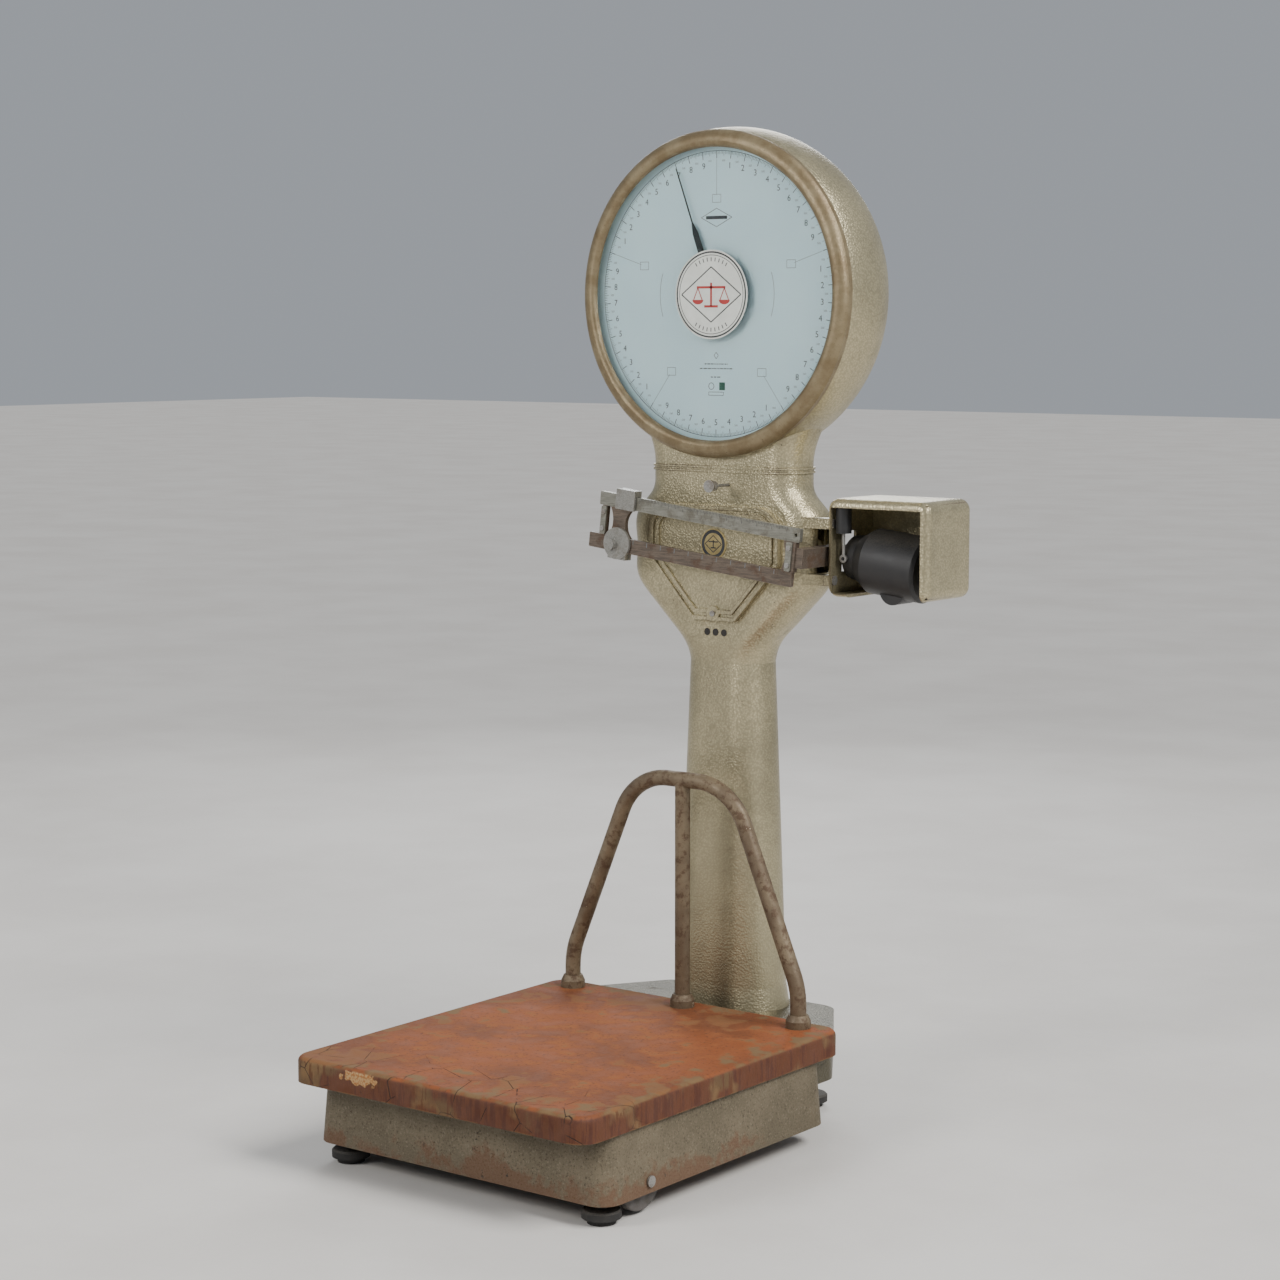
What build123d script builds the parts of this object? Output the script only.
"""Platform scale: levers under a cast platform, a hollow column, a tilting beam and a round dial.

Millimetres, +Z up, X to the right of a person facing the dial, Y from the platform to the dial.
The origin lies on the floor, under the middle of the platform.
"""

from build123d import *
from math import cos, degrees, pi, radians, sin, tan
import os

os.makedirs("parts", exist_ok=True)

# ---------------------------------------------------------------- driving dimensions
# Fits
fit_clearance = 0.05  # radial, shaft in bearing
moving_gap = 0.5  # between curved faces of pieces that move past each other
link_play = 1.8  # radial, pin in a lever hole that follows an arc

# Platform
platform_width = 550.0
platform_depth = 624.0
platform_top = 170.0
platform_thickness = 6.0
platform_skirt = 38.0
platform_corner = 32.0
platform_edge = 9.0
platform_rib = 8.0
rib_depth = 12.0

# Base frame
base_width = 546.0
base_front = -263.5
base_back = 277.0
base_bottom = 33.4
base_top = 150.0
base_draft = 7.0
base_corner = 32.0
base_wall = 7.0
ledge_width = 62.0
ledge_thickness = 12.0

# Column pedestal behind the base frame
pedestal_bottom = 86.0
pedestal_top = 155.0
pedestal_step = 127.0  # height of the part that reaches under the platform
pedestal_front_width = 500.0
pedestal_back_width = 310.0
pedestal_knee = 318.0
pedestal_back = 465.0
pedestal_corner = 38.0
pedestal_wall = 6.0

# Levelling feet and transport wheels
foot_x = 235.0
foot_front_y = -226.0
rear_foot_x = 132.0
rear_foot_y = 432.0
foot_radius = 28.0
foot_tread_radius = 20.0
foot_tread = 8.0
foot_disc = 12.0
stud_radius = 8.0
wheel_radius = 45.0
wheel_width = 15.0
wheel_y = -165.0
wheel_z = 50.0
wheel_outer_x = 258.0
axle_radius = 6.0

# Levers under the platform
knife_level = 112.0
lever_x = 212.0
lever_end_width = 22.0
front_fulcrum_y = -205.0
rear_fulcrum_y = 230.0
load_arm = 40.0
link_y = 5.0
arm_width = 20.0
arm_height = 16.0
front_arm_z = 110.0
rear_arm_z = 78.0
pipe_radius = 11.0
knife_height = 8.0
knife_half_width = 5.0

# Column and head, one casting
column_y = 405.0
column_wall = 6.5
column_top = 700.0
foot_half_width = 98.0
foot_half_depth = 59.5
column_low_z = 190.0
column_low_half_width = 91.5
column_low_half_depth = 57.5
column_top_half_width = 71.0
column_top_half_depth = 45.0
head_front = 358.0
head_back = 450.0
head_front_corner = 40.0
head_back_corner = 45.9
head_half_width = 175.0
neck_half_width = 138.0
seam_z = 996.0

# Dial housing
dial_z = 1268.0
glass_radius = 223.0
glass_front = 344.5
glass_thickness = 3.0
bezel_radius = 249.0
bezel_front = 336.0
bezel_back = 358.0
drum_radius = 256.0
drum_back = 540.0
drum_back_round = 133.0
drum_wall = 5.0
dial_plate_front = 358.0
dial_plate_thickness = 1.5
medallion_radius = 68.0
pointer_plane = 352.0
pointer_length = 206.0
pointer_rest = 20.6  # degrees anticlockwise of the top, seen from the front

# Beam
beam_tilt = 6.5  # degrees, left end up, at rest
beam_travel = 7.0  # degrees
fulcrum_x = 130.0
fulcrum_y = 405.0
fulcrum_z = 882.0
beam_front = 305.0
beam_thickness = 8.0
bar_offset = 34.0
upper_bar_height = 21.0
lower_bar_height = 23.0
rod_arm = 130.0  # fulcrum to the pull rod
dial_arm = 220.0  # fulcrum to the dial link

# Weight guard and counterweight
guard_left = 202.0
guard_right = 382.0
guard_front = 362.0
guard_back = 488.0
guard_bottom = 814.0
guard_top = 963.0
guard_wall = 5.0
guard_round = 17.0
guard_lip = 14.0
weight_y = 418.0
weight_radius = 50.0
weight_nose_radius = 33.0

# Guard rail
rail_y = 273.0
rail_x = 218.0
rail_top = 526.0
rail_tube_radius = 12.3
rail_bore_radius = 9.8
rail_knee = 228.0
rail_top_half = 92.7  # centre to where the legs' lines meet the level top
rail_knee_radius = 120.0
rail_corner_radius = 95.0
collar_radius = 19.0
collar_height = 20.0
rail_spigot_radius = 8.0

# Details, one block for each group of pieces below
dial_axis = Axis((0, 0, dial_z), (0, 1, 0))
platform_under = platform_top - platform_thickness
cover_low = 766.0
cover_shoulder = 856.0
cover_high = 944.0
cover_foot = 41.0
cover_half_width = 122.0
cover_corner = 40.0
cover_face = 352.5
lug_height = 16.0
upper_lug_z = 924.0
lower_lug_z = 838.0
lug_y = 376.0
lug_depth = 22.0
slot_low = 846.0
slot_high = 915.0
plug_radius = 5.5
plug_z = 747.0
plug_spacing = 16.0
knob_x = 23.0
knob_z = 977.0
knob_stem_radius = 2.5
neck_bottom = seam_z + 9.0
dial_plate_radius = 232.0
bridge_plane = 378.0
bridge_thickness = 5.0
bridge_back_plane = 438.0
bridge_reach = 236.0
pinion_teeth = 10
pendulum_x = -48.0
pendulum_drop = 78.0  # pendulum shaft below the dial's centre
link_arm = 44.0
rack_arm = 40.0
shaft_radius = 3.0
gear_plane = 402.0
link_plane = 396.0
gear_width = 6.0
arm_along = 62.0  # along the beam: the arm that passes outside the head
strap_left = -311.0
strap_right = 46.0
upper_left = -322.0
upper_right = 60.0
lower_left = -337.0
lower_right = 52.0
upper_poise_along = -269.0
lower_poise_along = -279.0
poise_gap = 0.5
dashpot_x = 222.0
dashpot_y = 380.0
dashpot_radius = 12.0
dashpot_low = 910.0
piston_radius = 9.0
eye_play = 1.0
pointer_hub_radius = 11.0
pedestal_bolt_x = 150.0
pedestal_bolt_z = 104.0
pedestal_bolt_radius = 9.0
guard_slot_width = 40.0  # for the weight rod and its nut
pointer_tail = 56.0
medallion_thickness = 1.0

# Shared origin: on the floor, under the centre of the overall box
axle_end = base_width / 2 + 3
origin_x = (guard_right - axle_end) / 2
origin_y = (drum_back - platform_depth / 2) / 2


# ---------------------------------------------------------------- helpers
def write(piece, name):
    """Move one finished piece to the shared origin, label it and write its STEP file."""
    placed = piece.part.moved(Location((-origin_x, -origin_y, 0)))
    placed.label = name
    export_step(placed, f"parts/{name}.step")


def rounded_section(z, half_width, front, back, front_corner, back_corner):
    """A horizontal rounded rectangle with its own front and back corner radii."""
    with BuildSketch(Plane.XY.offset(z)) as section:
        with Locations((0, (front + back) / 2)):
            Rectangle(2 * half_width, back - front)
        fillet(section.vertices().group_by(Axis.Y)[0], front_corner)
        fillet(section.vertices().group_by(Axis.Y)[-1], back_corner)
    return section.sketch


def side_plane(x):
    """The YZ plane at x: its first axis is Y and its second is Z."""
    return Plane(origin=(x, 0, 0), x_dir=(0, 1, 0), z_dir=(1, 0, 0))


def front_plane(y):
    """The XZ plane at y, facing the front: first axis X, second axis Z, normal to -Y."""
    return Plane(origin=(0, y, 0), x_dir=(1, 0, 0), z_dir=(0, -1, 0))


def beam_plane(y):
    """The tilted plane of the beam at y: origin on the fulcrum line, first axis along the beam."""
    tilt = radians(beam_tilt)
    return Plane(origin=(fulcrum_x, y, fulcrum_z), x_dir=(cos(tilt), 0, -sin(tilt)), z_dir=(0, -1, 0))


def beam_point(along, up):
    """World X and Z of a point given along and above the beam's own line."""
    tilt = radians(beam_tilt)
    x = fulcrum_x + along * cos(tilt) + up * sin(tilt)
    z = fulcrum_z - along * sin(tilt) + up * cos(tilt)
    return x, z


def dial_plane(y):
    """The plane of the dial at y, with its origin at the dial's centre."""
    return Plane(origin=(0, y, dial_z), x_dir=(1, 0, 0), z_dir=(0, -1, 0))


def dial_section_plane():
    """A vertical plane through the dial's axis: first axis Y, second axis the radius."""
    return Plane(origin=(0, 0, dial_z), x_dir=(0, 1, 0), z_dir=(1, 0, 0))


# ---------------------------------------------------------------- platform
def build_platform():
    """The ribbed cast plate that carries the load."""
    inner_width = platform_width - 2 * platform_thickness
    inner_depth = platform_depth - 2 * platform_thickness
    with BuildPart() as platform_plate:
        with BuildSketch(Plane.XY.offset(platform_top - platform_skirt)):
            RectangleRounded(platform_width, platform_depth, platform_corner)
        extrude(amount=platform_skirt)
        fillet(platform_plate.faces().sort_by(Axis.Z)[-1].edges(), platform_edge)
        with BuildSketch(Plane.XY.offset(platform_top - platform_skirt)):
            RectangleRounded(inner_width, inner_depth, platform_corner - platform_thickness)
        extrude(amount=platform_skirt - platform_thickness, mode=Mode.SUBTRACT)
        with BuildSketch(Plane.XY.offset(platform_under - rib_depth)):
            with Locations((0, -platform_depth / 6), (0, platform_depth / 8)):
                Rectangle(inner_width, platform_rib)
            with Locations((-platform_width / 4, 0), (platform_width / 4, 0)):
                Rectangle(platform_rib, inner_depth)
        extrude(amount=rib_depth)
        with Locations(Plane.XY.offset(platform_top)):
            with Locations((-rail_x, rail_y), (0, rail_y), (rail_x, rail_y)):
                Hole(rail_spigot_radius + fit_clearance)
    write(platform_plate, "platform_plate")


def load_knife_positions():
    """Y of the front and rear load knives; both sink by the same amount."""
    rear_load_arm = load_arm * (rear_fulcrum_y - link_y) / (link_y - front_fulcrum_y)
    return front_fulcrum_y + load_arm, rear_fulcrum_y - rear_load_arm


def build_platform_bearings():
    """Four blocks that hang from the plate and rest on the levers' load knives."""
    front_load_y, rear_load_y = load_knife_positions()
    notch = knife_level + moving_gap
    with BuildPart() as platform_bearings:
        for x in (-lever_x, lever_x):
            for y in (front_load_y, rear_load_y):
                with BuildSketch(side_plane(x)):
                    with BuildLine():
                        Polyline(
                            (y - 9, platform_under),
                            (y - 9, notch - 4),
                            (y - 8, notch - 4),
                            (y, notch),
                            (y + 8, notch - 4),
                            (y + 9, notch - 4),
                            (y + 9, platform_under),
                            close=True,
                        )
                    make_face()
                extrude(amount=lever_end_width / 2 - 1, both=True)
    write(platform_bearings, "platform_bearings")


# ---------------------------------------------------------------- guard rail
def rail_path():
    """Centre line of the hoop: two leaning legs joined by a level top."""
    knee = (rail_x, rail_knee)
    corner = (rail_top_half, rail_top)
    with BuildLine(Plane(origin=(0, rail_y, 0), x_dir=(1, 0, 0), z_dir=(0, -1, 0))) as path:
        FilletPolyline(
            (-rail_x, platform_top),
            (-knee[0], knee[1]),
            (-corner[0], corner[1]),
            corner,
            knee,
            (rail_x, platform_top),
            radius=[rail_knee_radius, rail_corner_radius, rail_corner_radius, rail_knee_radius],
        )
    return path.line


def build_rail():
    """Hoop, centre post, foot collars and the nuts under the plate."""
    path = rail_path()
    with BuildPart() as rail_hoop:
        with BuildSketch(Plane.XY.offset(platform_top)):
            with Locations((-rail_x, rail_y)):
                Circle(rail_tube_radius)
                Circle(rail_bore_radius, mode=Mode.SUBTRACT)
        sweep(path=path)
    write(rail_hoop, "rail_hoop")

    with BuildPart() as rail_post:
        with BuildSketch(Plane.XY.offset(platform_top)):
            with Locations((0, rail_y)):
                Circle(rail_tube_radius - 0.5)
                Circle(rail_bore_radius, mode=Mode.SUBTRACT)
        extrude(amount=rail_top - platform_top)
        with BuildSketch(Plane.YZ.offset(-2 * rail_tube_radius)):
            with Locations((rail_y, rail_top)):
                Circle(rail_tube_radius)
        extrude(amount=4 * rail_tube_radius, mode=Mode.SUBTRACT)
    tallest = rail_post.part.solids().sort_by(SortBy.VOLUME)[-1]
    with BuildPart() as coped_post:
        add(tallest)
    write(coped_post, "rail_post")

    with BuildPart() as rail_collars:
        for x in (-rail_x, 0, rail_x):
            with BuildSketch(Plane(origin=(x, rail_y, platform_top), x_dir=(1, 0, 0), z_dir=(0, -1, 0))):
                with BuildLine():
                    Polyline(
                        (rail_tube_radius, 0),
                        (collar_radius, 0),
                        (collar_radius, 0.55 * collar_height),
                        (rail_tube_radius + 2.5, collar_height),
                        (rail_tube_radius, collar_height),
                        close=True,
                    )
                make_face()
            revolve(axis=Axis((x, rail_y, 0), (0, 0, 1)))
    write(rail_collars, "rail_collars")

    nut_drop = 8.0
    with BuildPart() as rail_nuts:
        with Locations((-rail_x, rail_y), (0, rail_y), (rail_x, rail_y)):
            with Locations((0, 0, platform_under - nut_drop)):
                Cylinder(rail_spigot_radius, platform_thickness + nut_drop,
                         align=(Align.CENTER, Align.CENTER, Align.MIN))
        with BuildSketch(Plane.XY.offset(platform_under - nut_drop)):
            with Locations((-rail_x, rail_y), (0, rail_y), (rail_x, rail_y)):
                RegularPolygon(rail_spigot_radius + 6, 6)
        extrude(amount=nut_drop)
    write(rail_nuts, "rail_nuts")


# ---------------------------------------------------------------- base frame and pedestal
def base_half(z):
    """How far the drafted base is set in on each side at height z."""
    return base_draft * (z - base_bottom) / (base_top - base_bottom)


def base_section(z, inset):
    """Rounded rectangle of the base at height z, set in by its draft and by inset."""
    shrink = base_half(z) + inset
    middle = (base_front + base_back) / 2
    depth = base_back - base_front
    with BuildSketch(Plane.XY.offset(z)) as section:
        with Locations((0, middle)):
            RectangleRounded(base_width - 2 * shrink, depth - 2 * shrink, base_corner - inset)
    return section.sketch


def foot_points():
    """Centres of the four levelling feet."""
    return [
        (-foot_x, foot_front_y),
        (foot_x, foot_front_y),
        (-rear_foot_x, rear_foot_y),
        (rear_foot_x, rear_foot_y),
    ]


def build_base():
    """The drafted cast box, open on top, with a ledge round its floor."""
    middle = (base_front + base_back) / 2
    ledge_top = base_bottom + ledge_thickness
    with BuildPart() as base_frame:
        loft(sections=[base_section(base_bottom, 0), base_section(base_top, 0)])
        loft(
            sections=[base_section(ledge_top, base_wall), base_section(base_top, base_wall)],
            mode=Mode.SUBTRACT,
        )
        with BuildSketch(Plane.XY.offset(base_bottom)):
            with Locations((0, middle)):
                Rectangle(
                    base_width - 2 * base_wall - 2 * ledge_width,
                    base_back - base_front - 2 * base_wall - 2 * ledge_width,
                )
        extrude(amount=ledge_thickness, mode=Mode.SUBTRACT)
        with BuildSketch(Plane.XY.offset(base_bottom)):
            with Locations((-foot_x, foot_front_y), (foot_x, foot_front_y)):
                Circle(stud_radius + fit_clearance)
            pocket = wheel_width + 16
            pocket_x = wheel_outer_x + 3 - pocket / 2
            with Locations((-pocket_x, wheel_y), (pocket_x, wheel_y)):
                Rectangle(pocket, 2 * wheel_radius + 4)
        extrude(amount=ledge_thickness, mode=Mode.SUBTRACT)
        with BuildSketch(side_plane(-base_width)):
            with Locations((wheel_y, wheel_z)):
                Circle(axle_radius)
        extrude(amount=2 * base_width, mode=Mode.SUBTRACT)
        with BuildSketch(Plane.XZ.offset(-base_back - 1)):
            with Locations((0, front_arm_z - 6)):
                Rectangle(3 * arm_width, arm_height + 28)
        extrude(amount=base_wall + base_draft + 2, mode=Mode.SUBTRACT)
    write(base_frame, "base_frame")

    seat_reach = 9.0
    seat = knife_level - 4 + moving_gap
    with BuildPart() as fulcrum_stands:
        for x in (-lever_x, lever_x):
            for y in (front_fulcrum_y, rear_fulcrum_y):
                with BuildSketch(side_plane(x)):
                    with BuildLine():
                        Polyline(
                            (y - seat_reach, ledge_top),
                            (y - seat_reach, seat + 3),
                            (y - 8, seat + 3),
                            (y, knife_level - moving_gap),
                            (y + 8, seat + 3),
                            (y + seat_reach, seat + 3),
                            (y + seat_reach, ledge_top),
                            close=True,
                        )
                    make_face()
                extrude(amount=lever_end_width / 2 - 1, both=True)
    write(fulcrum_stands, "fulcrum_stands")


def pedestal_outline(inset):
    """Plan of the pedestal: as wide as the base in front, narrower behind."""
    front = base_back + inset if inset else base_back - base_draft
    wide = pedestal_front_width / 2 - inset
    narrow = pedestal_back_width / 2 - inset
    back = pedestal_back - inset
    with BuildSketch(Plane.XY.offset(pedestal_bottom)) as outline:
        with BuildLine():
            Polyline(
                (-wide, front),
                (wide, front),
                (wide, pedestal_knee),
                (narrow, back),
                (-narrow, back),
                (-wide, pedestal_knee),
                close=True,
            )
        make_face()
        fillet(outline.vertices().group_by(Axis.Y)[-1], pedestal_corner - inset)
        fillet(outline.vertices().group_by(Axis.Y)[1], pedestal_corner - inset)
    return outline.sketch


def build_pedestal():
    """The hollow box that carries the column behind the platform."""
    height = pedestal_top - pedestal_bottom
    under_platform = platform_depth / 2 + 6
    with BuildPart() as column_pedestal:
        extrude(pedestal_outline(0), amount=height)
        loft(sections=[base_section(base_bottom, 0), base_section(base_top, 0)], mode=Mode.SUBTRACT)
        with BuildSketch(Plane.XY.offset(pedestal_step)):
            with Locations((0, under_platform / 2)):
                Rectangle(base_width, under_platform)
        extrude(amount=height, mode=Mode.SUBTRACT)
        extrude(pedestal_outline(pedestal_wall), amount=pedestal_step - pedestal_bottom - pedestal_wall,
                mode=Mode.SUBTRACT)
        with BuildSketch(Plane.XY.offset(pedestal_step - pedestal_wall - 1)):
            with Locations((0, column_y)):
                Rectangle(2 * column_low_half_width - 50, 2 * column_low_half_depth - 2 * column_wall - 8)
        extrude(amount=height, mode=Mode.SUBTRACT)
        with BuildSketch(Plane.XZ.offset(-base_back + base_draft + 1)):
            with Locations((0, (pedestal_bottom + pedestal_step - pedestal_wall) / 2)):
                Rectangle(3 * arm_width, pedestal_step - pedestal_bottom - pedestal_wall)
        extrude(amount=-2 * pedestal_wall - base_draft, mode=Mode.SUBTRACT)
        with BuildSketch(Plane.XY.offset(pedestal_bottom)):
            with Locations((-rear_foot_x, rear_foot_y), (rear_foot_x, rear_foot_y)):
                Circle(2 * stud_radius)
        extrude(amount=height - 1)
        with BuildSketch(Plane.XY.offset(pedestal_bottom)):
            with Locations((-rear_foot_x, rear_foot_y), (rear_foot_x, rear_foot_y)):
                Circle(stud_radius + fit_clearance)
        extrude(amount=30, mode=Mode.SUBTRACT)
    write(column_pedestal, "column_pedestal")

    with BuildPart() as pedestal_bolts:
        for x in (-pedestal_bolt_x, pedestal_bolt_x):
            with BuildSketch(Plane.XZ.offset(-base_back + base_draft)):
                with Locations((x, pedestal_bolt_z)):
                    RegularPolygon(pedestal_bolt_radius, 6)
            extrude(amount=2 * base_wall)
        loft(
            sections=[
                base_section(base_bottom + ledge_thickness, base_wall),
                base_section(base_top, base_wall),
            ],
            mode=Mode.INTERSECT,
        )
    write(pedestal_bolts, "pedestal_bolts")


# ---------------------------------------------------------------- feet and wheels
def build_feet():
    """Each levelling foot is a disc with a smaller tread and a threaded stud."""
    names = ["foot_front_left", "foot_front_right", "foot_rear_left", "foot_rear_right"]
    for name, (x, y) in zip(names, foot_points()):
        stud_top = base_bottom + ledge_thickness + 14 if y < 0 else pedestal_bottom + 28
        with BuildPart() as foot:
            with Locations((x, y, 0)):
                Cylinder(foot_tread_radius, foot_tread, align=(Align.CENTER, Align.CENTER, Align.MIN))
            with Locations((x, y, foot_tread)):
                Cylinder(foot_radius, foot_disc, align=(Align.CENTER, Align.CENTER, Align.MIN))
            chamfer(foot.edges().filter_by(GeomType.CIRCLE).group_by(Axis.Z)[-1], 2.5)
            with Locations((x, y, 0)):
                Cylinder(stud_radius, stud_top, align=(Align.CENTER, Align.CENTER, Align.MIN))
        write(foot, name)

    with BuildPart() as foot_lock_nuts:
        for x, y in foot_points():
            under = base_bottom if y < 0 else pedestal_bottom
            with BuildSketch(Plane.XY.offset(under - 8)):
                with Locations((x, y)):
                    RegularPolygon(14, 6)
                    Circle(stud_radius + fit_clearance, mode=Mode.SUBTRACT)
            extrude(amount=8)
    write(foot_lock_nuts, "foot_lock_nuts")


def wheel_centre_x():
    """Distance of each wheel's middle from the centre line."""
    return wheel_outer_x - wheel_width / 2


def build_wheels():
    """Two transport wheels on stub axles through the base walls."""
    for name, side in (("wheel_left", -1), ("wheel_right", 1)):
        middle = side * wheel_centre_x()
        with BuildPart() as wheel:
            with BuildSketch(side_plane(middle)):
                with Locations((wheel_y, wheel_z)):
                    Circle(wheel_radius)
                    Circle(axle_radius + fit_clearance, mode=Mode.SUBTRACT)
            extrude(amount=wheel_width / 2, both=True)
            fillet(wheel.edges().filter_by(GeomType.CIRCLE).sort_by(SortBy.RADIUS)[-2:], 3)
        write(wheel, name)

    inner = wheel_outer_x - wheel_width - 4
    with BuildPart() as wheel_axles:
        for side in (-1, 1):
            with BuildSketch(side_plane(side * inner)):
                with Locations((wheel_y, wheel_z)):
                    Circle(axle_radius)
            extrude(amount=side * (base_width / 2 + 1 - inner))
            with BuildSketch(side_plane(side * inner)):
                with Locations((wheel_y, wheel_z)):
                    Circle(axle_radius + 4)
            extrude(amount=-side * 4)
            with BuildSketch(side_plane(side * (base_width / 2))):
                with Locations((wheel_y, wheel_z)):
                    Circle(axle_radius + 2)
            extrude(amount=side * 3)
    write(wheel_axles, "wheel_axles")


# ---------------------------------------------------------------- levers
def build_front_lever():
    """Pipe lever: fulcrums at the front, long arm back to the pull rod."""
    pipe_y = front_fulcrum_y + load_arm / 2
    front_load_y, _ = load_knife_positions()
    tip = column_y + 10
    with BuildPart() as front_lever:
        with BuildSketch(side_plane(-lever_x)):
            with Locations((pipe_y, knife_level)):
                Circle(pipe_radius - 2)
        extrude(amount=2 * lever_x)
        for x in (-lever_x, lever_x):
            with BuildSketch(side_plane(x)):
                with Locations((pipe_y, knife_level)):
                    Rectangle(14, 44)
                with Locations(((front_fulcrum_y + pipe_y) / 2, knife_level + 15)):
                    Rectangle(load_arm / 2 + 12, 14)
                with Locations(((front_load_y + pipe_y) / 2, knife_level - 15)):
                    Rectangle(load_arm / 2 + 12, 14)
            extrude(amount=lever_end_width / 2, both=True)
        with BuildSketch(Plane.XY.offset(front_arm_z - arm_height / 2)):
            with Locations((0, (pipe_y + tip) / 2)):
                Rectangle(arm_width, tip - pipe_y)
        extrude(amount=arm_height)
        with BuildSketch(side_plane(-arm_width)):
            with Locations((link_y, front_arm_z), (column_y, front_arm_z)):
                Circle(4 + link_play)
        extrude(amount=2 * arm_width, mode=Mode.SUBTRACT)
    write(front_lever, "front_lever")
    build_knives("front_lever_knives", front_fulcrum_y, front_load_y)


def build_rear_lever():
    """Pipe lever: fulcrums at the back, short arm forward to the coupling link."""
    _, rear_load_y = load_knife_positions()
    pipe_y = (rear_fulcrum_y + rear_load_y) / 2
    reach = rear_fulcrum_y - rear_load_y
    tip = link_y - 12
    with BuildPart() as rear_lever:
        with BuildSketch(side_plane(-lever_x)):
            with Locations((pipe_y, rear_arm_z)):
                Circle(pipe_radius - 2)
        extrude(amount=2 * lever_x)
        for x in (-lever_x, lever_x):
            with BuildSketch(side_plane(x)):
                with Locations((pipe_y, (knife_level + rear_arm_z) / 2 + 5)):
                    Rectangle(14, knife_level - rear_arm_z + 34)
                with Locations(((rear_fulcrum_y + pipe_y) / 2, knife_level + 15)):
                    Rectangle(reach / 2 + 12, 14)
                with Locations(((rear_load_y + pipe_y) / 2, knife_level - 15)):
                    Rectangle(reach / 2 + 12, 14)
            extrude(amount=lever_end_width / 2, both=True)
        with BuildSketch(Plane.XY.offset(rear_arm_z - arm_height / 2)):
            with Locations((0, (pipe_y + tip) / 2)):
                Rectangle(arm_width, pipe_y - tip)
        extrude(amount=arm_height)
        with BuildSketch(side_plane(-arm_width)):
            with Locations((link_y, rear_arm_z)):
                Circle(4 + link_play)
        extrude(amount=2 * arm_width, mode=Mode.SUBTRACT)
    write(rear_lever, "rear_lever")
    build_knives("rear_lever_knives", rear_fulcrum_y, rear_load_y)


def build_knives(name, fulcrum, load):
    """Hardened edges of one lever: fulcrum edges point down, load edges point up."""
    with BuildPart() as knives:
        for x in (-lever_x, lever_x):
            for y, up in ((fulcrum, 1), (load, -1)):
                base = knife_level + up * knife_height
                with BuildSketch(side_plane(x)):
                    with BuildLine():
                        Polyline(
                            (y - knife_half_width, base),
                            (y + knife_half_width, base),
                            (y, knife_level),
                            close=True,
                        )
                    make_face()
                extrude(amount=lever_end_width / 2, both=True)
    write(knives, name)


def build_coupling_link():
    """Two cheeks and two pins that hang the rear lever from the front one."""
    cheek = 5.0
    gap = arm_width / 2 + 1.5
    with BuildPart() as coupling_link:
        for side in (-1, 1):
            with BuildSketch(side_plane(side * gap)):
                with Locations((link_y, (front_arm_z + rear_arm_z) / 2)):
                    SlotOverall(front_arm_z - rear_arm_z + 22, 18, rotation=90)
            extrude(amount=side * cheek)
        with BuildSketch(side_plane(-gap)):
            with Locations((link_y, front_arm_z), (link_y, rear_arm_z)):
                Circle(4)
        extrude(amount=2 * gap)
    write(coupling_link, "coupling_link")


def build_pull_rod():
    """Rod up the column with a clevis at each end."""
    low = front_arm_z
    top_x, top_z = beam_point(-rod_arm / cos(radians(beam_tilt)), 0)
    cheek = 4.0
    low_gap = arm_width / 2 + 1.5
    top_gap = 7.5
    with BuildPart() as pull_rod:
        for side in (-1, 1):
            with BuildSketch(side_plane(side * low_gap)):
                with Locations((column_y, low + 8)):
                    Rectangle(16, 34)
            extrude(amount=side * cheek)
        with BuildSketch(side_plane(-low_gap)):
            with Locations((column_y, low)):
                Circle(4)
        extrude(amount=2 * low_gap)
        with BuildSketch(Plane.XY.offset(low + 17)):
            with Locations((0, column_y)):
                Rectangle(2 * (low_gap + cheek), 16)
        extrude(amount=8)
        with BuildSketch(Plane.XY.offset(low + 20)):
            with Locations((0, column_y)):
                Circle(5)
        extrude(amount=top_z - 20 - low - 20)
        with BuildSketch(Plane.XY.offset(top_z - 26)):
            with Locations((top_x, fulcrum_y)):
                Rectangle(16, 2 * (top_gap + cheek))
        extrude(amount=8)
        for side in (-1, 1):
            with BuildSketch(front_plane(fulcrum_y + side * top_gap)):
                with Locations((top_x, top_z - 8)):
                    Rectangle(16, 34)
            extrude(amount=-side * cheek)
        with BuildSketch(front_plane(fulcrum_y + top_gap)):
            with Locations((top_x, top_z)):
                Circle(3)
        extrude(amount=2 * top_gap)
    write(pull_rod, "pull_rod")


# ---------------------------------------------------------------- column and head
def column_sections(inset):
    """Sections of the shaft, from the flared foot to the throat of the head."""
    rows = [
        (pedestal_top, foot_half_width, foot_half_depth),
        (column_low_z, column_low_half_width, column_low_half_depth),
        (column_top, column_top_half_width, column_top_half_depth),
    ]
    sections = []
    for z, half_width, half_depth in rows:
        corner = half_depth - 1.5 - inset
        sections.append(rounded_section(
            z, half_width - inset, column_y - half_depth + inset,
            column_y + half_depth - inset, corner, corner))
    return sections


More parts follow.
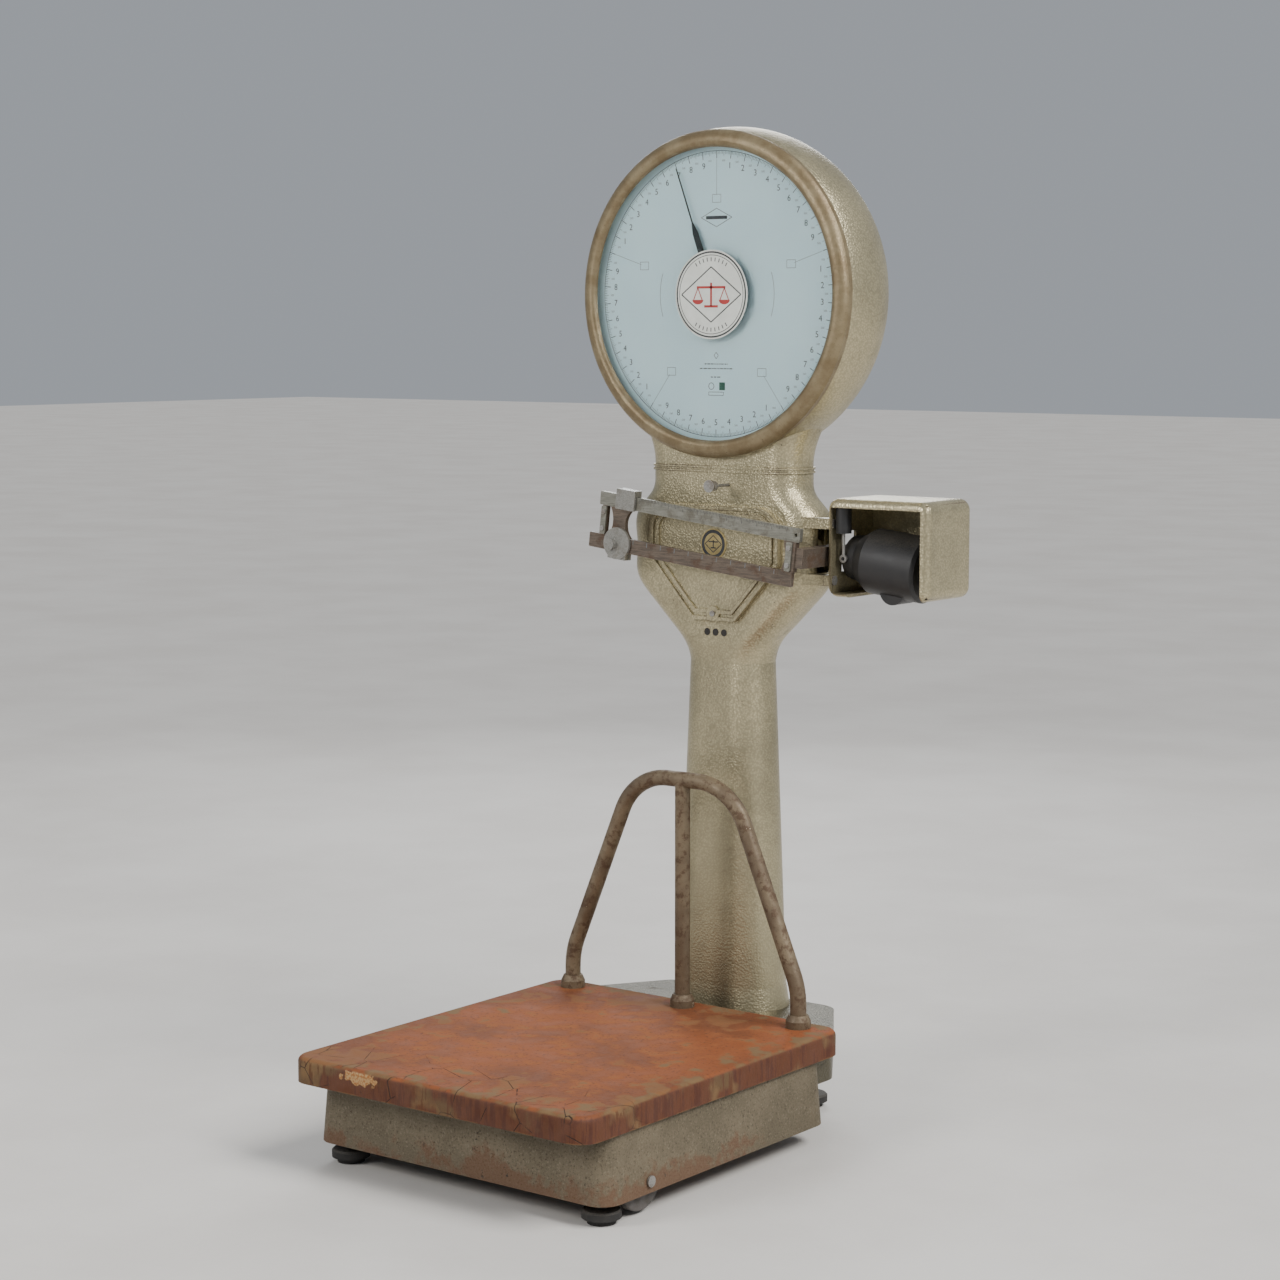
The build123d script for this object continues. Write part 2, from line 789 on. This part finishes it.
def head_sections(inset):
    """Sections of the head, from the throat through the shoulders up to the neck."""
    throat = column_top_half_width
    rows = [
        (column_top, throat, column_y - column_top_half_depth, column_top_half_depth - 1.5),
        (712.0, throat + 2.5, 359.5, column_top_half_depth - 2.0),
        (730.0, throat + 10, head_front, head_front_corner + 1),
        (750.0, throat + 28, head_front, head_front_corner),
        (789.0, throat + 68, head_front, head_front_corner),
        (822.0, head_half_width - 6, head_front, head_front_corner),
        (850.0, head_half_width, head_front, head_front_corner),
        (900.0, head_half_width + 1, head_front, head_front_corner),
        (927.0, head_half_width - 2, head_front, head_front_corner),
        (945.0, head_half_width - 15, head_front, head_front_corner),
        (962.0, neck_half_width + 6, head_front, head_front_corner),
        (978.0, neck_half_width + 0.5, head_front, head_front_corner),
        (seam_z, neck_half_width, head_front, head_front_corner),
    ]
    return [
        rounded_section(z, half_width - inset, front + inset, head_back - inset,
                        corner - inset, min(corner, head_back_corner) - inset)
        for z, half_width, front, corner in rows
    ]


def cover_outline(plane, inset):
    """Six-sided cover: narrow foot, slanted sides, rounded top corners."""
    with BuildSketch(plane) as outline:
        with BuildLine():
            Polyline(
                (-cover_foot, cover_low),
                (cover_foot, cover_low),
                (cover_half_width, cover_shoulder),
                (cover_half_width, cover_high),
                (-cover_half_width, cover_high),
                (-cover_half_width, cover_shoulder),
                close=True,
            )
        make_face()
        fillet(outline.vertices().group_by(Axis.Y)[-1], cover_corner)
        fillet(outline.vertices().group_by(Axis.Y)[0], 9)
        fillet(outline.vertices().sort_by(Axis.X)[0:1] + outline.vertices().sort_by(Axis.X)[-1:], 14)
        if inset > 0:
            offset(amount=-inset)
    return outline.sketch


def build_column():
    """Hollow cast column that swells into the head."""
    with BuildPart() as column_casting:
        for low, high in zip(column_sections(0), column_sections(0)[1:]):
            loft(sections=[low, high])
        loft(sections=head_sections(0))
        with BuildSketch(front_plane(lug_y + lug_depth / 2)):
            with Locations((head_half_width, upper_lug_z), (head_half_width, lower_lug_z)):
                Rectangle(2 * (guard_left - 6 - head_half_width), lug_height)
        extrude(amount=lug_depth)
        for low, high in zip(column_sections(column_wall), column_sections(column_wall)[1:]):
            loft(sections=[low, high], mode=Mode.SUBTRACT)
        loft(sections=head_sections(column_wall), mode=Mode.SUBTRACT)
        extrude(cover_outline(front_plane(head_front + 2 * column_wall), 16), amount=3 * column_wall,
                mode=Mode.SUBTRACT)
        with BuildSketch(Plane.XY.offset(slot_low)):
            with Locations((head_half_width, fulcrum_y + 9)):
                Rectangle(60, 62)
        extrude(amount=slot_high - slot_low, mode=Mode.SUBTRACT)
        with BuildSketch(front_plane(head_front + 2 * column_wall)):
            with Locations((-plug_spacing, plug_z), (0, plug_z), (plug_spacing, plug_z)):
                Circle(plug_radius)
            with Locations((knob_x, knob_z)):
                Circle(knob_stem_radius + fit_clearance)
        extrude(amount=3 * column_wall, mode=Mode.SUBTRACT)
        with BuildSketch(front_plane(fulcrum_y + 26)):
            with Locations((fulcrum_x, fulcrum_z)):
                Circle(12)
        extrude(amount=-(head_back - column_wall - fulcrum_y - 26) - 1)
        with BuildSketch(side_plane(guard_left)):
            with Locations((lug_y, upper_lug_z), (lug_y, lower_lug_z)):
                Circle(4)
        extrude(amount=-28, mode=Mode.SUBTRACT)
    write(column_casting, "column_casting")


def build_head_fittings():
    """Cover, its screw, badge, plugs, seam bead and the small side screws."""
    with BuildPart() as cover_plate:
        extrude(cover_outline(front_plane(head_front), 0), amount=head_front - cover_face)
        for outer, inner in ((0.01, 6.0), (11.0, 17.0)):
            extrude(cover_outline(front_plane(cover_face), outer), amount=3.0)
            extrude(cover_outline(front_plane(cover_face), inner), amount=3.0, mode=Mode.SUBTRACT)
        with BuildSketch(front_plane(cover_face)):
            with Locations((0, cover_low + 11)):
                Circle(12)
        extrude(amount=3.0)
        with BuildSketch(front_plane(head_front)):
            with Locations((0, cover_low + 11)):
                Circle(2.5)
        extrude(amount=20, mode=Mode.SUBTRACT)
    write(cover_plate, "cover_plate")

    with BuildPart() as cover_screw:
        with BuildSketch(front_plane(cover_face - 3)):
            with Locations((0, cover_low + 11)):
                Circle(4.5)
        extrude(amount=2.0)
        with BuildSketch(front_plane(head_front)):
            with Locations((0, cover_low + 11)):
                Circle(2.5)
        extrude(amount=head_front - cover_face + 3)
    write(cover_screw, "cover_screw")

    with BuildPart() as badge:
        with BuildSketch(front_plane(cover_face)):
            with Locations((0, 885)):
                Circle(24)
        extrude(amount=1.5)
    write(badge, "badge")

    with BuildPart() as seal_plugs:
        with BuildSketch(front_plane(head_front + 4)):
            with Locations((-plug_spacing, plug_z), (0, plug_z), (plug_spacing, plug_z)):
                Circle(plug_radius)
        extrude(amount=4.5)
    write(seal_plugs, "seal_plugs")

    bead = 3.0
    with BuildPart() as seam_bead:
        for z, grow in ((seam_z, 3.0), (seam_z + bead, 1.0), (seam_z + 2 * bead, 3.0)):
            extrude(rounded_section(z, neck_half_width + grow, head_front - grow, head_back + grow,
                                    head_front_corner + grow, head_front_corner + grow), amount=bead)
        extrude(rounded_section(seam_z, neck_half_width - column_wall, head_front + column_wall,
                                head_back - column_wall, head_front_corner - column_wall,
                                head_front_corner - column_wall), amount=3 * bead, mode=Mode.SUBTRACT)
    write(seam_bead, "seam_bead")


def build_lock():
    """Knurled knob, its stem and the small cam inside the neck."""
    knob_back = 322.0
    with BuildPart() as lock_knob:
        with BuildSketch(front_plane(knob_back)):
            with Locations((knob_x, knob_z)):
                Circle(7.5)
        with BuildSketch(front_plane(knob_back - 15)):
            with Locations((knob_x, knob_z)):
                Circle(9.5)
        loft()
        with BuildSketch(front_plane(head_front + 14)):
            with Locations((knob_x, knob_z)):
                Circle(knob_stem_radius)
        extrude(amount=head_front + 14 - knob_back)
    write(lock_knob, "lock_knob")

    with BuildPart() as lock_cam:
        with BuildSketch(front_plane(head_front + 20)):
            with Locations((knob_x + 4, knob_z)):
                Ellipse(9, 6)
        extrude(amount=6)
    write(lock_cam, "lock_cam")


# ---------------------------------------------------------------- dial housing


def neck_sections(inset):
    """The neck rises from the seam and widens into the drum."""
    rows = [
        (neck_bottom, neck_half_width),
        (1026.0, neck_half_width + 2),
        (1045.0, neck_half_width + 8),
        (1070.0, neck_half_width + 20),
        (1092.0, neck_half_width + 30),
    ]
    return [
        rounded_section(z, half_width - inset, head_front + inset, head_back - inset,
                        head_front_corner - inset, head_front_corner - inset)
        for z, half_width in rows
    ]


def drum_profile(inset):
    """Half section of the drum: near-straight side, large back rounding, flat back."""
    outer = drum_radius - inset
    back = drum_back - inset
    round_radius = drum_back_round - inset
    front = bezel_back
    turn = back - round_radius
    with BuildSketch(dial_section_plane()) as profile:
        with BuildLine():
            Line((front, 0), (front, bezel_radius - inset))
            Spline((front, bezel_radius - inset), (turn, outer), tangents=((1, 0.35), (1, 0)))
            RadiusArc((turn, outer), (back, outer - round_radius), round_radius)
            Line((back, outer - round_radius), (back, 0))
            Line((back, 0), (front, 0))
        make_face()
    return profile.sketch


def build_dial_housing():
    """Drum and neck in one shell."""
    with BuildPart() as dial_housing:
        revolve(drum_profile(0), axis=dial_axis)
        loft(sections=neck_sections(0))
        revolve(drum_profile(drum_wall), axis=dial_axis, mode=Mode.SUBTRACT)
        loft(sections=neck_sections(drum_wall), mode=Mode.SUBTRACT)
        with BuildSketch(dial_plane(bridge_plane + 12)):
            with Locations((-bridge_reach, 0), (bridge_reach, 0)):
                Rectangle(36, 24)
        extrude(amount=12)
    write(dial_housing, "dial_housing")

    inner_crest = glass_radius + 9
    with BuildPart() as bezel_ring:
        with BuildSketch(dial_section_plane()):
            with BuildLine():
                Line((bezel_back, bezel_radius), (bezel_back, dial_plate_radius + 0.5))
                Line((bezel_back, dial_plate_radius + 0.5), (glass_front + glass_thickness, glass_radius + 4))
                Line((glass_front + glass_thickness, glass_radius + 4), (glass_front, glass_radius + 4))
                Line((glass_front, glass_radius + 4), (glass_front, glass_radius))
                ThreePointArc((glass_front, glass_radius), (bezel_front + 2.0, inner_crest - 5.5),
                              (bezel_front, inner_crest))
                ThreePointArc((bezel_front, inner_crest), (bezel_front + 5.0, bezel_radius - 3.5),
                              (bezel_back - 10, bezel_radius + 0.8))
                Line((bezel_back - 10, bezel_radius + 0.8), (bezel_back, bezel_radius))
            make_face()
        revolve(axis=dial_axis)
    write(bezel_ring, "bezel_ring")

    with BuildPart() as dial_glass:
        with BuildSketch(dial_plane(glass_front + glass_thickness)):
            Circle(glass_radius + 3.9)
        extrude(amount=glass_thickness)
    write(dial_glass, "dial_glass")

    with BuildPart() as dial_plate:
        with BuildSketch(dial_plane(dial_plate_front + dial_plate_thickness)):
            Circle(dial_plate_radius + 2)
            Circle(8, mode=Mode.SUBTRACT)
        extrude(amount=dial_plate_thickness)
    write(dial_plate, "dial_plate")

    with BuildPart() as medallion:
        with BuildSketch(dial_plane(glass_front)):
            Circle(medallion_radius)
        extrude(amount=medallion_thickness)
    write(medallion, "medallion")


def dial_travel():
    """Pendulum turn in radians and pinion pitch radius for one full turn of the pointer."""
    turn = dial_arm * radians(beam_travel) / link_arm
    return turn, rack_arm * turn / (2 * pi)


def pendulum_lean():
    """Half of the pendulum's turn: its arms start this far above and below level."""
    turn, _ = dial_travel()
    return turn / 2


def build_mechanism():
    """Bridge plates, pointer shaft, pinion, rack and pendulum."""
    shaft_z = -pendulum_drop
    with BuildPart() as mechanism_bridge:
        for plane_y in (bridge_plane, bridge_back_plane):
            with BuildSketch(dial_plane(plane_y)):
                with Locations((pendulum_x / 2, shaft_z / 2)):
                    RectangleRounded(100, pendulum_drop + 50, 12)
            extrude(amount=bridge_thickness)
        with BuildSketch(dial_plane(bridge_plane)):
            Rectangle(2 * bridge_reach + 16, 20)
        extrude(amount=bridge_thickness)
        with BuildSketch(dial_plane(bridge_back_plane)):
            with Locations((-68, 18), (20, 18), (20, shaft_z - 12), (-68, shaft_z - 20)):
                Circle(4)
        extrude(amount=bridge_back_plane - bridge_plane + bridge_thickness)
        with BuildSketch(dial_plane(bridge_back_plane + 1)):
            with Locations((0, 0), (pendulum_x, shaft_z)):
                Circle(shaft_radius + fit_clearance)
        extrude(amount=bridge_back_plane - bridge_plane + 12, mode=Mode.SUBTRACT)
    write(mechanism_bridge, "mechanism_bridge")

    _, pitch_radius = dial_travel()
    module = 2 * pitch_radius / pinion_teeth
    root = pitch_radius - 1.2 * module
    tip = pitch_radius + 0.9 * module
    with BuildPart() as pinion:
        with BuildSketch(dial_plane(gear_plane + gear_width / 2)):
            Circle(root)
            with PolarLocations(0, pinion_teeth):
                Polygon(
                    (root - 0.3, -0.42 * pi * module / 2),
                    (tip, -0.2 * pi * module / 2),
                    (tip, 0.2 * pi * module / 2),
                    (root - 0.3, 0.42 * pi * module / 2),
                    align=None,
                )
        extrude(amount=gear_width)
        with BuildSketch(dial_plane(bridge_back_plane)):
            Circle(shaft_radius)
        extrude(amount=bridge_back_plane - pointer_plane)
    write(pinion, "pointer_shaft")

    turn, _ = dial_travel()
    travel = rack_arm * turn
    pitch = pi * module
    count = int(travel / pitch) + 8
    low_pin_z = shaft_z - rack_arm * sin(pendulum_lean())
    pin_x = pendulum_x + rack_arm * cos(pendulum_lean())
    rack_eye_x = pendulum_x + rack_arm * (1 + cos(pendulum_lean())) / 2
    bar_right = -(pitch_radius + 1.4 * module)
    with BuildPart() as rack:
        with BuildSketch(dial_plane(gear_plane + gear_width / 2)):
            top = (count - 4) * pitch - travel / 2 + pitch
            with Locations(((bar_right - 6) - 1, (low_pin_z - 6 + top) / 2)):
                Rectangle(14, top - low_pin_z + 6 + pitch)
            for k in range(-count + 4, 5):
                z = (k + 0.5) * pitch
                with BuildLine():
                    Polyline(
                        (bar_right - 0.2, z - 0.36 * pitch / 2 - 0.2),
                        (-pitch_radius + 0.8 * module, z - 0.18 * pitch / 2),
                        (-pitch_radius + 0.8 * module, z + 0.18 * pitch / 2),
                        (bar_right - 0.2, z + 0.36 * pitch / 2 + 0.2),
                        close=True,
                    )
                make_face()
            with Locations((rack_eye_x, low_pin_z)):
                Circle(2.5 + link_play, mode=Mode.SUBTRACT)
        extrude(amount=gear_width)
    write(rack, "rack")

    lean = degrees(pendulum_lean())
    plate_y = gear_plane + gear_width / 2 + 8
    link_x = pendulum_x - link_arm * cos(pendulum_lean())
    link_eye_x = pendulum_x - link_arm * (1 + cos(pendulum_lean())) / 2
    link_z = shaft_z + link_arm * sin(pendulum_lean())
    with BuildPart() as pendulum:
        with BuildSketch(dial_plane(plate_y)):
            with Locations(Location((pendulum_x, shaft_z, 0), -lean)):
                with Locations(((rack_arm - link_arm) / 2, 0)):
                    Rectangle(rack_arm + link_arm + 10, 10)
            with Locations((pendulum_x, shaft_z)):
                Circle(11)
            with Locations((pendulum_x, shaft_z - 45)):
                Rectangle(8, 90)
        extrude(amount=4)
        with BuildSketch(dial_plane(plate_y + 10)):
            with Locations((pendulum_x, shaft_z - 95)):
                Circle(22)
        extrude(amount=18)
        with BuildSketch(dial_plane(bridge_back_plane)):
            with Locations((pendulum_x, shaft_z)):
                Circle(shaft_radius)
        extrude(amount=bridge_back_plane - bridge_plane + bridge_thickness)
        with BuildSketch(dial_plane(plate_y)):
            with Locations((pin_x, low_pin_z)):
                Circle(2.5)
        extrude(amount=plate_y - gear_plane + gear_width / 2 + 1)
        with BuildSketch(dial_plane(plate_y)):
            with Locations((link_x, link_z)):
                Circle(2.5)
        extrude(amount=plate_y - link_plane + 5)
    write(pendulum, "pendulum")

    low_x, low_z = beam_point(-dial_arm / cos(radians(beam_tilt)), 0)
    with BuildPart() as dial_link:
        with BuildSketch(front_plane(link_plane)):
            with Locations((low_x, low_z + 6)):
                Rectangle(12, 26)
            with Locations((link_eye_x, dial_z + link_z)):
                Circle(7)
            with Locations(((low_x + link_x) / 2, (low_z + dial_z + link_z) / 2)):
                Rectangle(6, dial_z + link_z - low_z - 10)
            with Locations((link_eye_x, dial_z + link_z), (low_x, low_z)):
                Circle(2.5 + link_play, mode=Mode.SUBTRACT)
        extrude(amount=4)
    write(dial_link, "dial_link")


def build_pointer():
    """Long pointer: disc, broad tapered root and a thin needle, turned to its rest angle."""
    with BuildPart() as pointer:
        with BuildSketch(dial_plane(pointer_plane)):
            Circle(pointer_hub_radius)
            with Locations(Location((0, 0, 0), pointer_rest)):
                Polygon(
                    (-6, 0), (-5, 100), (-1, 118), (-0.7, pointer_length),
                    (0.7, pointer_length), (1, 118), (5, 100), (6, 0), align=None,
                )
                with Locations((0, -pointer_tail / 2)):
                    Rectangle(10, pointer_tail)
        extrude(amount=1.5)
    write(pointer, "pointer")


# ---------------------------------------------------------------- beam


def beam_box(left, right, low, high, front, back):
    """A block of the beam body, given along and above the beam line, between two Y planes."""
    with BuildSketch(beam_plane(back)) as block:
        with Locations(((left + right) / 2, (low + high) / 2)):
            Rectangle(right - left, high - low)
    extrude(block.sketch, amount=back - front)


def build_beam():
    """Inner lever, its fulcrum shaft, graduated bars, yokes and straps."""
    lever_left = -(dial_arm + 10) / cos(radians(beam_tilt))
    pull_at = -rod_arm / cos(radians(beam_tilt))
    dial_at = -dial_arm / cos(radians(beam_tilt))
    with BuildPart() as beam_lever:
        with BuildSketch(beam_plane(fulcrum_y + 6)):
            with Locations(((lever_left + arm_along) / 2, 0)):
                Rectangle(arm_along - lever_left, 16)
            Circle(13)
            with Locations((pull_at, 0)):
                Circle(3 + link_play, mode=Mode.SUBTRACT)
            Circle(4 + fit_clearance, mode=Mode.SUBTRACT)
        extrude(amount=12)
        with BuildSketch(beam_plane(fulcrum_y - 6)):
            with Locations((dial_at, 0)):
                Circle(2.5)
        extrude(amount=fulcrum_y - 6 - link_plane + 5)
        with BuildSketch(beam_plane(weight_y + 9)):
            with Locations((arm_along, 0)):
                Rectangle(13, 30)
        extrude(amount=weight_y + 9 - beam_front)
    write(beam_lever, "beam_lever")

    with BuildPart() as fulcrum_shaft:
        with BuildSketch(front_plane(fulcrum_y + 26)):
            with Locations((fulcrum_x, fulcrum_z)):
                Circle(4)
        extrude(amount=26 + 9)
    write(fulcrum_shaft, "fulcrum_shaft")

    back = beam_front + beam_thickness
    with BuildPart() as upper_bar:
        with BuildSketch(beam_plane(back)):
            with Locations(((upper_left + upper_right) / 2, bar_offset)):
                RectangleRounded(upper_right - upper_left, upper_bar_height, 2)
            with Locations((upper_right - 7, bar_offset)):
                Circle(3, mode=Mode.SUBTRACT)
        extrude(amount=beam_thickness)
    write(upper_bar, "upper_bar")

    with BuildPart() as lower_bar:
        with BuildSketch(beam_plane(back)):
            with Locations(((lower_left + lower_right) / 2, -bar_offset)):
                RectangleRounded(lower_right - lower_left, lower_bar_height, 2)
        extrude(amount=beam_thickness)
    write(lower_bar, "lower_bar")

    top = bar_offset - upper_bar_height / 2
    low = -bar_offset + lower_bar_height / 2
    with BuildPart() as left_yoke:
        with BuildSketch(beam_plane(back)):
            with BuildLine():
                Line((-300, low), (-258, low))
                ThreePointArc((-258, low), (-269, 0), (-258, top))
                Line((-258, top), (-300, top))
                ThreePointArc((-300, top), (-293, 0), (-300, low))
            make_face()
            with Locations((strap_left, (top + low) / 2)):
                Rectangle(9, top - low)
                with Locations((0, 13), (0, -13)):
                    Circle(2.5, mode=Mode.SUBTRACT)
        extrude(amount=beam_thickness)
    write(left_yoke, "left_yoke")

    with BuildPart() as right_yoke:
        with BuildSketch(beam_plane(back)):
            with BuildLine():
                Polyline(
                    (34, low), (arm_along - 6.5, low), (arm_along - 6.5, top), (34, top), (40, 0),
                    close=True,
                )
            make_face()
        extrude(amount=beam_thickness + 3)
    write(right_yoke, "right_yoke")

    with BuildPart() as end_straps:
        for along, front in ((strap_left, beam_front), (strap_right, beam_front - 3)):
            with BuildSketch(beam_plane(front)):
                with Locations((along, (top + low) / 2)):
                    RectangleRounded(10, top - low - 2, 2)
                    with Locations((0, 13), (0, -13)):
                        Circle(2.5, mode=Mode.SUBTRACT)
            extrude(amount=3)
    write(end_straps, "end_straps")

    with BuildPart() as strap_screws:
        for along, front in ((strap_left, beam_front - 3), (strap_right, beam_front - 6)):
            for up in (13, -13):
                up_here = up + (top + low) / 2
                with BuildSketch(beam_plane(front)):
                    with Locations((along, up_here)):
                        Circle(3.8)
                extrude(amount=2)
                with BuildSketch(beam_plane(front + 3)):
                    with Locations((along, up_here)):
                        Circle(2.4)
                extrude(amount=3)
    write(strap_screws, "strap_screws")


def build_poises():
    """Two sliding weights, each a saddle round its bar."""
    front = beam_front - poise_gap
    back = beam_front + beam_thickness + poise_gap
    top = bar_offset + upper_bar_height / 2 + poise_gap
    bottom = bar_offset - upper_bar_height / 2 - 1.0
    with BuildPart() as upper_poise:
        left, right = upper_poise_along - 18, upper_poise_along + 18
        beam_box(left, right, bottom, top + 9, front - 5, front)
        beam_box(left, right, bottom, top + 9, back, back + 4)
        beam_box(left, right, top, top + 9, front - 5, back + 4)
    write(upper_poise, "upper_poise")

    low_top = -bar_offset + lower_bar_height / 2 + poise_gap
    with BuildPart() as lower_poise:
        with BuildSketch(beam_plane(front)):
            with Locations((lower_poise_along, -bar_offset + 2)):
                Circle(25)
        extrude(amount=5)
        with BuildSketch(beam_plane(back + 4)):
            with Locations((lower_poise_along, -bar_offset - 8)):
                Rectangle(36, 30)
        extrude(amount=4)
        beam_box(lower_poise_along - 17, lower_poise_along + 17, -bar_offset - 23,
                 -bar_offset - lower_bar_height / 2 - poise_gap, front - 2, back + 2)
        with BuildSketch(beam_plane(front - 5)):
            with Locations((lower_poise_along - 8, -bar_offset)):
                Circle(9)
        extrude(amount=9)
    write(lower_poise, "lower_poise")


def weight_pin_z():
    """Height of the pin that lifts the dashpot's piston."""
    return fulcrum_z - (dashpot_x - fulcrum_x) * tan(radians(beam_tilt))


def build_counterweight():
    """Rod, hexagon lock nut and the barrel with its conical nose."""
    start = arm_along + 6.5
    nose = 84.0
    shoulder = 107.0
    full = 128.0
    end = 222.0
    line = Axis((fulcrum_x, weight_y, fulcrum_z), beam_plane(0).x_dir)
    with BuildPart() as counterweight:
        with BuildSketch(beam_plane(weight_y)):
            with BuildLine():
                Polyline(
                    (nose, 0),
                    (nose, weight_nose_radius - 4),
                    (nose + 4, weight_nose_radius),
                    (shoulder, weight_nose_radius + 3.5),
                    (full, weight_radius),
                    (end - 5, weight_radius),
                    (end, weight_radius - 5),
                    (end, 0),
                    close=True,
                )
            make_face()
        revolve(axis=line)
        with BuildSketch(beam_plane(weight_y + 24)):
            with Locations(((full + end) / 2, -weight_radius + 14)):
                Circle(22)
        extrude(amount=48)
        with BuildSketch(front_plane(weight_y)):
            with Locations((dashpot_x, weight_pin_z())):
                Circle(2)
        extrude(amount=weight_y - dashpot_y + 4)
    write(counterweight, "counterweight")

    cross = Plane(origin=(fulcrum_x, weight_y, fulcrum_z), x_dir=(0, 1, 0), z_dir=beam_plane(0).x_dir)
    with BuildPart() as weight_rod:
        with BuildSketch(cross.offset(start)):
            Circle(8)
        extrude(amount=nose - start)
    with BuildPart() as lock_nut:
        with BuildSketch(cross.offset(nose - 10)):
            RegularPolygon(14, 6)
            Circle(8, mode=Mode.SUBTRACT)
        extrude(amount=10)
    write(weight_rod, "weight_rod")
    write(lock_nut, "weight_lock_nut")


# ---------------------------------------------------------------- weight guard


def build_guard():
    """Cast box round the counterweight, open in front and partly below, bolted to two ears."""
    width = guard_right - guard_left
    height = guard_top - guard_bottom
    middle_x = (guard_left + guard_right) / 2
    middle_y = (guard_front + guard_back) / 2
    middle_z = (guard_bottom + guard_top) / 2
    depth = guard_back - guard_front
    inside_left = guard_left + guard_wall
    with BuildPart() as weight_guard:
        with Locations((middle_x, middle_y, middle_z)):
            Box(width, depth, height)
        fillet(weight_guard.edges().filter_by(Axis.Y), guard_round)
        fillet(weight_guard.faces().sort_by(Axis.Y)[0].edges(), guard_round - 5)
        fillet(weight_guard.faces().sort_by(Axis.Y)[-1].edges(), guard_round - 5)
        with Locations((middle_x, middle_y, middle_z)):
            Box(width - 2 * guard_wall, depth - 2 * guard_wall, height - 2 * guard_wall, mode=Mode.SUBTRACT)
        with BuildSketch(front_plane(guard_front + guard_wall)):
            with Locations(((inside_left + 3 + guard_right - guard_lip) / 2,
                            (guard_bottom + guard_wall + guard_top - guard_lip) / 2)):
                Rectangle(guard_right - guard_lip - inside_left - 3, height - guard_lip - guard_wall)
        extrude(amount=guard_wall + 1, mode=Mode.SUBTRACT)
        with BuildSketch(Plane.XY.offset(guard_bottom + guard_wall)):
            mouth_x = (inside_left + 30 + guard_right - guard_lip) / 2
            with Locations((mouth_x, (guard_front + guard_back - 20) / 2)):
                Rectangle(guard_right - guard_lip - inside_left - 30, depth - 16)
        extrude(amount=-2 * guard_wall, mode=Mode.SUBTRACT)
        with BuildSketch(side_plane(inside_left + 12)):
            with Locations((weight_y, (slot_low + slot_high) / 2)):
                Rectangle(guard_slot_width, slot_high - slot_low - 8)
        extrude(amount=-30, mode=Mode.SUBTRACT)
        for z in (upper_lug_z, lower_lug_z):
            with BuildSketch(side_plane(guard_left - 6)):
                with Locations((lug_y, z)):
                    Rectangle(lug_depth, lug_height)
            extrude(amount=guard_wall + 6)
        with BuildSketch(side_plane(guard_left - 6)):
            with Locations((lug_y, upper_lug_z), (lug_y, lower_lug_z)):
                Circle(4)
        extrude(amount=guard_wall + 14, mode=Mode.SUBTRACT)
    write(weight_guard, "weight_guard")

    with BuildPart() as guard_bolts:
        for z in (upper_lug_z, lower_lug_z):
            with BuildSketch(side_plane(guard_left - 26)):
                with Locations((lug_y, z)):
                    Circle(3.95)
            extrude(amount=26 + guard_wall)
            with BuildSketch(side_plane(guard_left + guard_wall)):
                with Locations((lug_y, z)):
                    RegularPolygon(8, 6)
            extrude(amount=2.5)
    write(guard_bolts, "guard_bolts")

    with BuildPart() as dashpot:
        with Locations((dashpot_x, dashpot_y, dashpot_low)):
            Cylinder(dashpot_radius, guard_top - guard_wall - dashpot_low,
                     align=(Align.CENTER, Align.CENTER, Align.MIN))
        with Locations((dashpot_x, dashpot_y, dashpot_low + 3)):
            Cylinder(piston_radius + moving_gap, guard_top - guard_wall - dashpot_low - 6,
                     align=(Align.CENTER, Align.CENTER, Align.MIN), mode=Mode.SUBTRACT)
        with Locations((dashpot_x, dashpot_y, dashpot_low)):
            Cylinder(2.5 + fit_clearance, 3, align=(Align.CENTER, Align.CENTER, Align.MIN),
                     mode=Mode.SUBTRACT)
    write(dashpot, "dashpot_cylinder")

    with BuildPart() as piston:
        with Locations((dashpot_x, dashpot_y, dashpot_low + 6)):
            Cylinder(piston_radius, 8, align=(Align.CENTER, Align.CENTER, Align.MIN))
        eye_z = weight_pin_z()
        with Locations((dashpot_x, dashpot_y, eye_z + 4)):
            Cylinder(2.5, dashpot_low + 8 - eye_z - 4, align=(Align.CENTER, Align.CENTER, Align.MIN))
        with BuildSketch(front_plane(dashpot_y + 2)):
            with Locations((dashpot_x, eye_z)):
                Circle(6)
        extrude(amount=4)
        with BuildSketch(front_plane(dashpot_y + 2)):
            with Locations((dashpot_x, eye_z)):
                Circle(2 + eye_play)
        extrude(amount=4, mode=Mode.SUBTRACT)
    write(piston, "dashpot_piston")


# ---------------------------------------------------------------- build
build_platform()
build_platform_bearings()
build_rail()
build_base()
build_pedestal()
build_feet()
build_wheels()
build_front_lever()
build_rear_lever()
build_coupling_link()
build_pull_rod()
build_column()
build_head_fittings()
build_lock()
build_dial_housing()
build_mechanism()
build_pointer()
build_beam()
build_poises()
build_counterweight()
build_guard()
